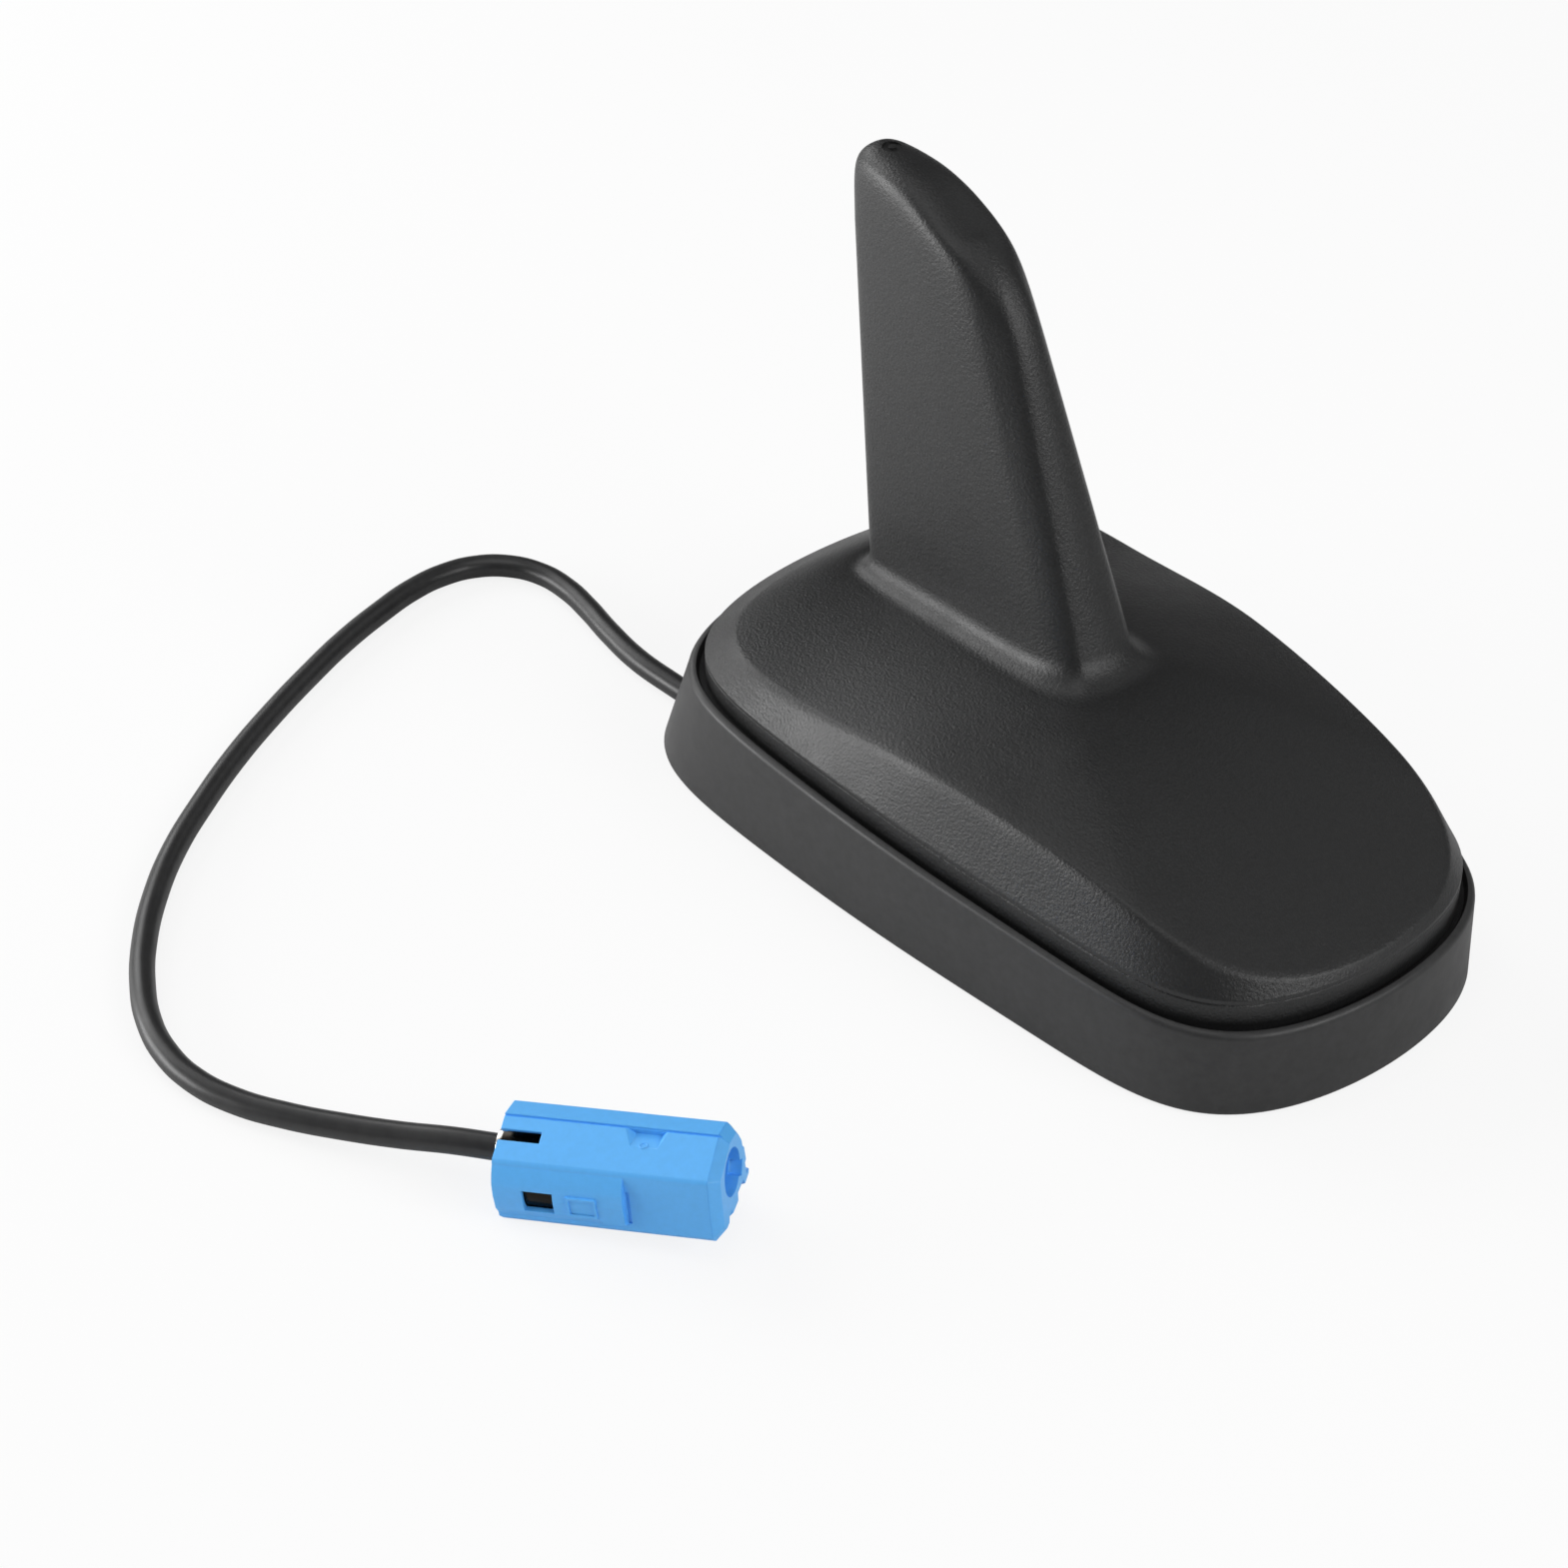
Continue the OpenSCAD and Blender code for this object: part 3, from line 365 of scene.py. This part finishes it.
cover["finHigh"] = [(cover["tailHigh"] + a * cover["tipLength"], b * cover["tipWidth"] / 2)
                    for a, b in cover["tipSection"]]
cover["spine"] = [(cover["tailHigh"] + a * cover["tipLength"], drop) for a, drop in cover["spine"]]


def shoulderPoint(i, inset):
    angle = angleAt(i)
    end = cover["noseRoll"] if math.cos(angle) > 0 else cover["tailRoll"]
    side = mix(end, cover["flankWidth"], math.sin(angle) ** 2)
    x, y = planPoint(angle, base["lipCentre"], base["coverHalf"] - side - inset,
                     base["coverHalfWidth"] - cover["flankWidth"] - inset)
    rise = along((x - base["lipCentre"]) / base["coverHalf"], cover["shoulderRise"])
    return Vector((x, y, lipZ(x) + rise - inset))


def crownZ(x):
    return lipZ(x) + along((x - base["lipCentre"]) / base["coverHalf"], cover["crownRise"])


def finSpline(half, i, outset):
    grown = [(p[0] + o[0] * outset, p[1] + o[1] * outset) for p, o in zip(half, cover["outward"])]
    ring = grown + [(p[0], -p[1]) for p in reversed(grown)]
    per = count / len(ring)
    k = int(i / per)
    u = i / per - k
    a, b, c = ring[k - 1], ring[k], ring[(k + 1) % len(ring)]
    return [a[j] * (1 - u) ** 2 / 2 + b[j] * (0.5 + u - u * u) + c[j] * u * u / 2 for j in (0, 1)]


def finPoint(i, z, outset):
    low = finSpline(cover["finLow"], i, outset)
    high = finSpline(cover["finHigh"], i, outset)
    t = (z - cover["lowZ"]) / (cover["highZ"] - cover["lowZ"])
    return Vector((mix(low[0], high[0], t), mix(low[1], high[1], t), z))


def rootZ(i):
    return crownZ(finSpline(cover["finLow"], i, 0)[0])


def edgeZ(i):
    tail, nose = cover["finHigh"][-1][0], cover["finHigh"][0][0]
    forward = (finSpline(cover["finHigh"], i, 0)[0] - tail) / (nose - tail)
    return cover["tip"] - along(forward, cover["capDrop"])


def capPoint(i, degrees, outset):
    # an arch from the edge to the spine
    turned = math.radians(degrees)
    edge = finPoint(i, edgeZ(i) + outset, outset)
    x = clamp(edge.x, cover["spine"][0][0], cover["spine"][-1][0])
    z = mix(edge.z, cover["tip"] - along(x, cover["spine"]) + outset, math.sin(turned))
    side = finPoint(i, z, outset)
    return Vector((mix(x, side.x, math.cos(turned)), side.y * math.cos(turned), z))


def bandPoint(i, inset, share):
    x, y = coverPlan(angleAt(i), inset)
    height = cover["bandHeight"] * (1 + cover["bandGrowth"] * x / base["coverHalf"])
    return Vector((x, y, lipZ(x) + share * height))


def footPoint(i, inset):
    x, y = coverPlan(angleAt(i), inset)
    return Vector((x, y, lipZ(x) - base["shelf"]))


def innerSide(i):
    x, y = coverPlan(angleAt(i), cover["wall"])
    return Vector((x, y, lipZ(x) + cover["bandHeight"] - cover["wall"]))


def flankPoint(i, t):
    return bandPoint(i, 0, 1).lerp(shoulderPoint(i, 0), t)


def crownPoint(i, t, inset):
    start = shoulderPoint(i, inset)
    toe = finPoint(i, rootZ(i) - inset, cover["fillet"] - inset)
    return Vector((mix(start.x, toe.x, t), mix(start.y, toe.y, t),
                   mix(start.z, toe.z, 1 - (1 - t) ** cover["crownEase"])))


def rollPoint(i, t):
    a, b, c = flankPoint(i, cover["rollStart"]), shoulderPoint(i, 0), crownPoint(i, cover["rollEnd"], 0)
    return a * (1 - t) ** 2 + b * 2 * t * (1 - t) + c * t * t


def filletPoint(i, turned):
    r = cover["fillet"]
    return finPoint(i, rootZ(i) + r * (1 - math.cos(turned)), r * (1 - math.sin(turned)))


def wallPoint(i, t):
    return finPoint(i, mix(rootZ(i) + cover["fillet"], edgeZ(i), t), 0)


def innerWall(i, t):
    wall = cover["wall"]
    return finPoint(i, mix(edgeZ(i) - 2 * wall, rootZ(i) - wall, t), -wall)


def partingRings():
    half = cover["partingWidth"] / cover["bandHeight"] / 2
    reach, depth = cover["partingReach"], cover["partingDepth"]
    return [ringOf(bandPoint, inset, cover["partingLevel"] + t * half)
            for t, inset in ((-reach, 0), (-1, 0), (0, depth), (1, 0), (reach, 0))]


finLevels = steps(cover["finStart"], cover["finMiddle"], cover["finSteps"]) + list(cover["finTop"])
outside = ([ringOf(footPoint, 0)]
           + [ringOf(bandPoint, 0, t) for t in cover["lowBand"]]
           + partingRings()
           + [ringOf(bandPoint, 0, t) for t in cover["highBand"]]
           + [ringOf(flankPoint, t) for t in cover["lowFlank"]]
           + [ringOf(rollPoint, t) for t in steps(0, 1, cover["rollSteps"])]
           + [ringOf(crownPoint, t, 0) for t in cover["crownRings"]]
           + [ringOf(filletPoint, t) for t in steps(0, math.pi / 2, cover["filletSteps"])]
           + [ringOf(wallPoint, t) for t in finLevels]
           + [ringOf(capPoint, t, 0) for t in steps(cover["capStart"], cover["capEnd"], cover["capSteps"])])
cavity = ([ringOf(capPoint, t, -cover["wall"]) for t in cover["hollowCap"]]
          + [ringOf(innerWall, t) for t in (0, 1)]
          + [ringOf(crownPoint, t, cover["wall"]) for t in cover["hollowCrown"]]
          + [ringOf(innerSide), ringOf(footPoint, cover["wall"])])
coverPiece = ringLoft("moulded_cover", cavity + outside)

# the cap and the top of the fin are softened together
soft = bmesh.new()
soft.from_mesh(coverPiece.data)
soft.verts.ensure_lookup_table()
capVerts = soft.verts[-cover["softRings"] * count:]
for softRound in range(cover["softRounds"]):
    bmesh.ops.smooth_vert(soft, verts=capVerts, factor=0.5, use_axis_x=True, use_axis_y=True, use_axis_z=True)
print("cap top", round(max(vert.co.z for vert in capVerts) / mm, 2))
soft.to_mesh(coverPiece.data)
soft.free()

# the small moulded ring near the tip is cut with a tube
gate = bmesh.new()
gateMiddle = Vector((cover["spine"][0][0] + cover["gateRadius"] / 2, 0, cover["tip"])) * mm
gateFloor = Matrix.Translation(gateMiddle - Vector((0, 0, cover["gateDepth"] * mm)))
bmesh.ops.create_circle(gate, segments=48, radius=cover["gatePost"] * mm, matrix=gateFloor)
edges = list(gate.edges)
gateWalls = ((cover["gateRadius"], -cover["gateDepth"]), (cover["gateRadius"], 1), (cover["gatePost"], 1))
for radius, z in gateWalls:
    made = bmesh.ops.extrude_edge_only(gate, edges=edges)["geom"]
    edges = [part for part in made if isinstance(part, bmesh.types.BMEdge)]
    for vert in (part for part in made if isinstance(part, bmesh.types.BMVert)):
        out = (vert.co - gateMiddle).to_2d().normalized() * radius * mm
        vert.co = Vector((gateMiddle.x + out.x, out.y, gateMiddle.z + z * mm))
bmesh.ops.bridge_loops(gate, edges=[edge for edge in gate.edges if edge.is_boundary])
carve(coverPiece, gate)
smooth(coverPiece, cover["smooth"])
dress(coverPiece, "cover_plastic", "fin_cover")
print("cover built")


def flatRing(z, inset):
    return [(*footPlan(angleAt(i), inset), z) for i in around]


def plateRing(z, inset):
    return [(*coverPlan(angleAt(i), inset), z) for i in around]


def slopedRing(plan, drop, inset):
    points = [plan(angleAt(i), inset) for i in around]
    return [(x, y, lipZ(x) - drop) for x, y in points]


edgeRound = base["edgeRadius"]
arc = [(edgeRound * (1 - math.cos(t)), edgeRound * (1 - math.sin(t)))
       for t in steps(0, math.pi / 2, base["edgeSteps"])]
wallFoot, wallTop = flatRing(edgeRound, 0), slopedRing(lipPlan, edgeRound, 0)
coverSeat = ((base["dip"], 0), (base["shelf"], 0), (base["shelf"], base["plateInset"]))
plateSeat = ((base["plateHeight"], base["plateInset"]), (base["plateHeight"], base["flange"]),
             (base["grooveHeight"], base["flange"]), (base["grooveHeight"], base["grooveInset"]))
gasketRings = ([flatRing(drop, inset) for inset, drop in reversed(arc)]
               + [[Vector(a).lerp(Vector(b), t) for a, b in zip(wallFoot, wallTop)]
                  for t in base["wallRings"]]
               + [slopedRing(lipPlan, drop, inset) for inset, drop in arc]
               + [slopedRing(lipPlan, base["dip"] * base["dipShare"], edgeRound * base["dipStart"])]
               + [slopedRing(coverPlan, drop, inset) for drop, inset in coverSeat]
               + [plateRing(z, inset) for z, inset in plateSeat]
               + [flatRing(0, base["openingInset"])])
gasketPiece = smooth(ringLoft("gasket_foot", gasketRings, closed=True), base["smooth"])
dress(gasketPiece, "gasket_rubber", "rubber_gasket")
print("gasket built")

# lead: the CAD's route in mm, which ends in the connector
lead = {"diameter": 3.0, "low": 1.52, "heading": 37.0, "rear": (8.6, -86.6), "floor": 5.6,
        "ramp": (19.0, 2.2), "ferrule": 0.8}
tilt = math.atan(lead["ramp"][1] / lead["ramp"][0])
heading = math.radians(lead["heading"])
connectorAxis = Vector((math.cos(heading) * math.cos(tilt), math.sin(heading) * math.cos(tilt),
                        math.sin(tilt)))
connectorRear = Vector((*lead["rear"], lead["floor"] * math.cos(tilt)))
low = lead["low"]
route = [(-18, -16.7, 2.15), (-23, -17.27, 2.15), (-28, -17.85, 1.9), (-33, -18.42, 1.6), (-38, -19, low),
         (-45, -19.8, low), (-52, -20.6, low), (-59, -21, low), (-66, -20.4, low), (-72, -19.5, low),
         (-77.3, -19.1, low), (-82.3, -19.8, low), (-86.4, -22.1, low), (-89.1, -25.8, low),
         (-90.1, -30.3, low), (-89.7, -35.3, low), (-88, -41.3, low), (-85.3, -48.6, low), (-81.8, -56, low),
         (-77.6, -64, low), (-72.8, -72.1, low), (-67.3, -80, low), (-61.8, -87, low), (-55.6, -93.2, low),
         (-48.9, -98.5, low), (-42.8, -102.2, low), (-36.8, -104.8, low), (-30.8, -106, low),
         (-25, -105.7, low), (-19.3, -103.9, 1.65), (-13.6, -101, 2.1), (-7.7, -97.4, 2.8),
         (-1.8, -93.6, 3.75), (3.1, -90.3, 4.75), tuple(connectorRear - connectorAxis * lead["ferrule"])]
leadCurve = bpy.data.curves.new("coax_lead", "CURVE")
leadCurve.dimensions = "3D"
spline = leadCurve.splines.new("BEZIER")
spline.bezier_points.add(len(route) - 1)
for point, place in zip(spline.bezier_points, route):
    point.co = Vector(place) * mm
    point.handle_left_type = point.handle_right_type = "AUTO"
spline.resolution_u = 8
leadCurve.bevel_depth = lead["diameter"] / 2 * mm
leadCurve.bevel_resolution = 7
leadCurve.use_fill_caps = True
leadPiece = link(bpy.data.objects.new("coax_lead", leadCurve))
dress(leadPiece, "cable_jacket", "coax_cable")

# connector: the CAD's shape, hollowed behind its openings, grooved and rounded
# its places are in mm along the axis from the rear, to the left and up
# a crease has its place to the left and up, its width and its segments
body = {"merge": 0.002, "flat": 1.5, "edge": 0.09, "shortest": 0.7, "sharp": 24, "smooth": 12, "ends": (-1, 26),
        "creases": ((-5.2, 1.4, 0.5, 3), (-5.8, 0.2, 0.35, 3), (-4.6, 2.5, 0.4, 4)), "creaseReach": 0.03,
        "mark": ((8, -20, -3.1), (11.7, -5, -0.1)), "underWindow": ((-1, -20, -3.2), (26, -5.3, -2.7)),
        "ribGroove": ((-1, 0.53, 4.1), (26, 0.75, 5), 0),
        "stepGroove": ((14.55, -6.5, -4.3), (14.95, -4.74, -0.25), -6.3),
        "behindSlot": ((0.6, -1.9, 2.4), (5.4, 1.9, 3.3), 24),
        "sleeve": (-1.8, -1.45), "sleeveRadius": 3.7, "sleevePlace": (1.8, 7.0), "play": 0.1,
        "gate": (15.9, -1.15, 3.55), "gateRadius": 0.4, "gateWire": 0.08}
connectorLeft = Vector((-math.sin(heading), math.cos(heading), 0))
connectorUp = connectorAxis.cross(connectorLeft)
connectorTurn = Matrix((connectorAxis, connectorLeft, connectorUp)).transposed().to_4x4()
atConnector = Matrix.Translation(connectorRear * mm) @ connectorTurn
toConnector = atConnector.inverted()


def boxAt(bm, low, high, degrees):
    middle = (Vector(low) + Vector(high)) / 2 * mm
    size = (Vector(high) - Vector(low)) * mm
    roll = Matrix.Rotation(math.radians(degrees), 4, "X")
    bmesh.ops.create_cube(bm, size=1, matrix=atConnector @ roll @ Matrix.Translation(middle)
                          @ Matrix.Diagonal((*size, 1)))


def rodAt(bm, start, end, radius, place=(0, 0)):
    turned = Matrix.Rotation(math.pi / 2, 4, "Y")
    middle = Matrix.Translation(Vector(((start + end) / 2, *place)) * mm)
    bmesh.ops.create_cone(bm, cap_ends=True, segments=64, radius1=radius * mm, radius2=radius * mm,
                          depth=(end - start) * mm, matrix=atConnector @ middle @ turned)


def cutWith(obj, shape, *values, overlaps=False):
    cutter = bmesh.new()
    shape(cutter, *values)
    carve(obj, cutter, overlaps)


def lies(edge, low, high):
    spots = [toConnector @ vert.co / mm for vert in edge.verts]
    return all(low[j] < spot[j] < high[j] for spot in spots for j in range(3))


def roundOff(bm, rims, width, segments=2, clamped=True):
    bmesh.ops.bevel(bm, geom=rims, offset=width * mm, affect="EDGES", segments=segments, profile=0.5,
                    material=-1, clamp_overlap=clamped)


housing = bmesh.new()
housing.from_mesh(frame["nodes"]["connector_housing"].data)
bmesh.ops.remove_doubles(housing, verts=housing.verts, dist=body["merge"] * mm)
housingPiece = madeFrom(housing, "connector_body")
for cut in ("ribGroove", "stepGroove", "behindSlot"):
    cutWith(housingPiece, boxAt, *body[cut])
cutWith(housingPiece, rodAt, body["sleevePlace"][0] - body["play"], body["sleevePlace"][1] + body["play"],
        body["sleeveRadius"] + body["play"], body["sleeve"])
housing = bmesh.new()
housing.from_mesh(housingPiece.data)
bmesh.ops.remove_doubles(housing, verts=housing.verts, dist=body["merge"] * mm)
bmesh.ops.dissolve_limit(housing, angle_limit=math.radians(body["flat"]), verts=housing.verts,
                         edges=housing.edges)
reach, ends = body["creaseReach"], body["ends"]
for left, up, width, segments in body["creases"]:
    lowEnd, highEnd = (ends[0], left - reach, up - reach), (ends[1], left + reach, up + reach)
    roundOff(housing, [edge for edge in housing.edges if lies(edge, lowEnd, highEnd)], width, segments)
rims = [edge for edge in housing.edges
        if edge.is_manifold and edge.is_convex and edge.calc_length() > body["shortest"] * mm
        and edge.calc_face_angle() > math.radians(body["sharp"])
        and not lies(edge, *body["mark"]) and not lies(edge, *body["underWindow"])]
roundOff(housing, rims, body["edge"], clamped=False)
print("connector rims rounded:", len(rims))
bmesh.ops.triangulate(housing, faces=[face for face in housing.faces if len(face.verts) > 4])
bmesh.ops.recalc_face_normals(housing, faces=housing.faces)

# the moulded ring is spun at the origin, then put in its place
wire = bmesh.ops.create_circle(housing, segments=10, radius=body["gateWire"] * mm,
                               matrix=Matrix.Translation((body["gateRadius"] * mm, 0, 0))
                               @ Matrix.Rotation(math.pi / 2, 4, "X"))["verts"]
wireEdges = list(set(edge for vert in wire for edge in vert.link_edges))
bmesh.ops.spin(housing, geom=wire + wireEdges, cent=(0, 0, 0), axis=(0, 0, 1), angle=2 * math.pi,
               steps=32, use_merge=True)
ringFaces = [face for face in housing.faces
             if all(vert.co.length < 2 * body["gateRadius"] * mm for vert in face.verts)]
ringVerts = list(set(vert for face in ringFaces for vert in face.verts))
bmesh.ops.recalc_face_normals(housing, faces=ringFaces)
atGate = atConnector @ Matrix.Translation(Vector(body["gate"]) * mm)
bmesh.ops.transform(housing, verts=ringVerts, matrix=atGate)
housing.to_mesh(housingPiece.data)
housing.free()
smooth(housingPiece, body["smooth"])
weigh = housingPiece.modifiers.new("weigh", "WEIGHTED_NORMAL")
weigh.keep_sharp = True
dress(housingPiece, "housing_blue", "connector_housing")
print("connector body built")

# ferrule: the tube on the lead and the wider sleeve behind the window
# its last three values place and colour the painted shade on the tube inside the housing
ferrule = {"radius": 2.3, "bore": 1.2, "boreStart": 2.0, "length": 8.3, "edge": 0.12, "sharp": 57.3,
           "smooth": 35, "shadeStart": 0.5, "shadeEnd": 0.2, "shadeColour": (0.02, 0.017, 0.014)}
crimp = bmesh.new()
rodAt(crimp, -lead["ferrule"], ferrule["length"] - lead["ferrule"], ferrule["radius"])
rodAt(crimp, *body["sleevePlace"], body["sleeveRadius"], body["sleeve"])
roundOff(crimp, [edge for edge in crimp.edges if edge.calc_face_angle() > math.radians(ferrule["sharp"])],
         ferrule["edge"])
crimpPiece = madeFrom(crimp, "crimp_ferrule")
cutWith(crimpPiece, rodAt, ferrule["boreStart"], ferrule["length"] + 1, ferrule["bore"], overlaps=True)
smooth(crimpPiece, ferrule["smooth"])
# painted shade: from just before the housing's rear face on, the nickel fades to near black, for the shade
# inside the housing
rearAlong = connectorRear.dot(connectorAxis)
paintShadeInside(finishes["nickel"], (rearAlong - ferrule["shadeStart"]) * mm, (rearAlong - ferrule["shadeEnd"]) * mm,
           connectorAxis, ferrule["shadeColour"])
dress(crimpPiece, "nickel", "connector_ferrule")
print("lead built")

# stage: a pale floor that glows to the camera alone, and a world that is dim as light and pale to the camera
stage = {"floorSize": 4, "floorGlow": 0.85, "worldLight": 0.12, "worldPale": 0.84}
bm = bmesh.new()
bmesh.ops.create_grid(bm, x_segments=1, y_segments=1, size=stage["floorSize"])
floor = madeFrom(bm, "floor")
floorMat = newMaterial("paleFloor", (0.9, 0.9, 0.9), 0.9, specular=0.2)
floorTree = floorMat.node_tree
glow = addNode(floorTree, "ShaderNodeEmission", Strength=1.0)
share = addNode(floorTree, "ShaderNodeMath", "MULTIPLY")
share.inputs[1].default_value = stage["floorGlow"]
join(floorTree, addNode(floorTree, "ShaderNodeLightPath"), "Is Camera Ray", share, 0)
blend = addNode(floorTree, "ShaderNodeMixShader")
join(floorTree, share, "Value", blend, "Fac")
join(floorTree, shaderOf(floorMat), "BSDF", blend, 1)
join(floorTree, glow, "Emission", blend, 2)
join(floorTree, blend, "Shader", floorTree.nodes["Material Output"], "Surface")
floor.data.materials.append(floorMat)

world = bpy.data.worlds.new("studio")
bpy.context.scene.world = world
world.use_nodes = True
worldTree = world.node_tree
background = worldTree.nodes["Background"]
background.inputs["Color"].default_value = (1, 1, 1, 1)
horizon = addNode(worldTree, "ShaderNodeMath", "MULTIPLY_ADD")
horizon.inputs[1].default_value = stage["worldPale"]
horizon.inputs[2].default_value = stage["worldLight"]
join(worldTree, addNode(worldTree, "ShaderNodeLightPath"), "Is Camera Ray", horizon, 0)
join(worldTree, horizon, "Value", background, "Strength")

# lamps: azimuth, elevation, distance, size, power
lamps = {"sideLamp": (-40, 9, 0.7, (0.5, 0.25), 3.6),
         "rearLamp": (-80, 30, 0.9, (0.6, 0.4), 3.2),
         "rightLamp": (105, 35, 0.9, (0.62, 0.4), 3.9),
         "overheadLamp": (0, 80, 1.0, (0.7, 0.7), 2.4),
         "backLamp": (180, 45, 1.0, (0.6, 0.5), 0.5)}
for name, (azimuth, elevation, distance, size, power) in lamps.items():
    data = bpy.data.lights.new(name, "AREA")
    data.shape = "RECTANGLE"
    data.size, data.size_y = size
    data.energy = power
    lamp = link(bpy.data.objects.new(name, data))
    a, e = math.radians(azimuth), math.radians(elevation)
    place = Vector((math.sin(a) * math.cos(e), -math.cos(a) * math.cos(e), math.sin(e)))
    lamp.location = place * distance
    lamp.rotation_euler = place.to_track_quat("Z", "Y").to_euler()
bpy.context.scene.view_settings.view_transform = "Standard"
print("stage set")
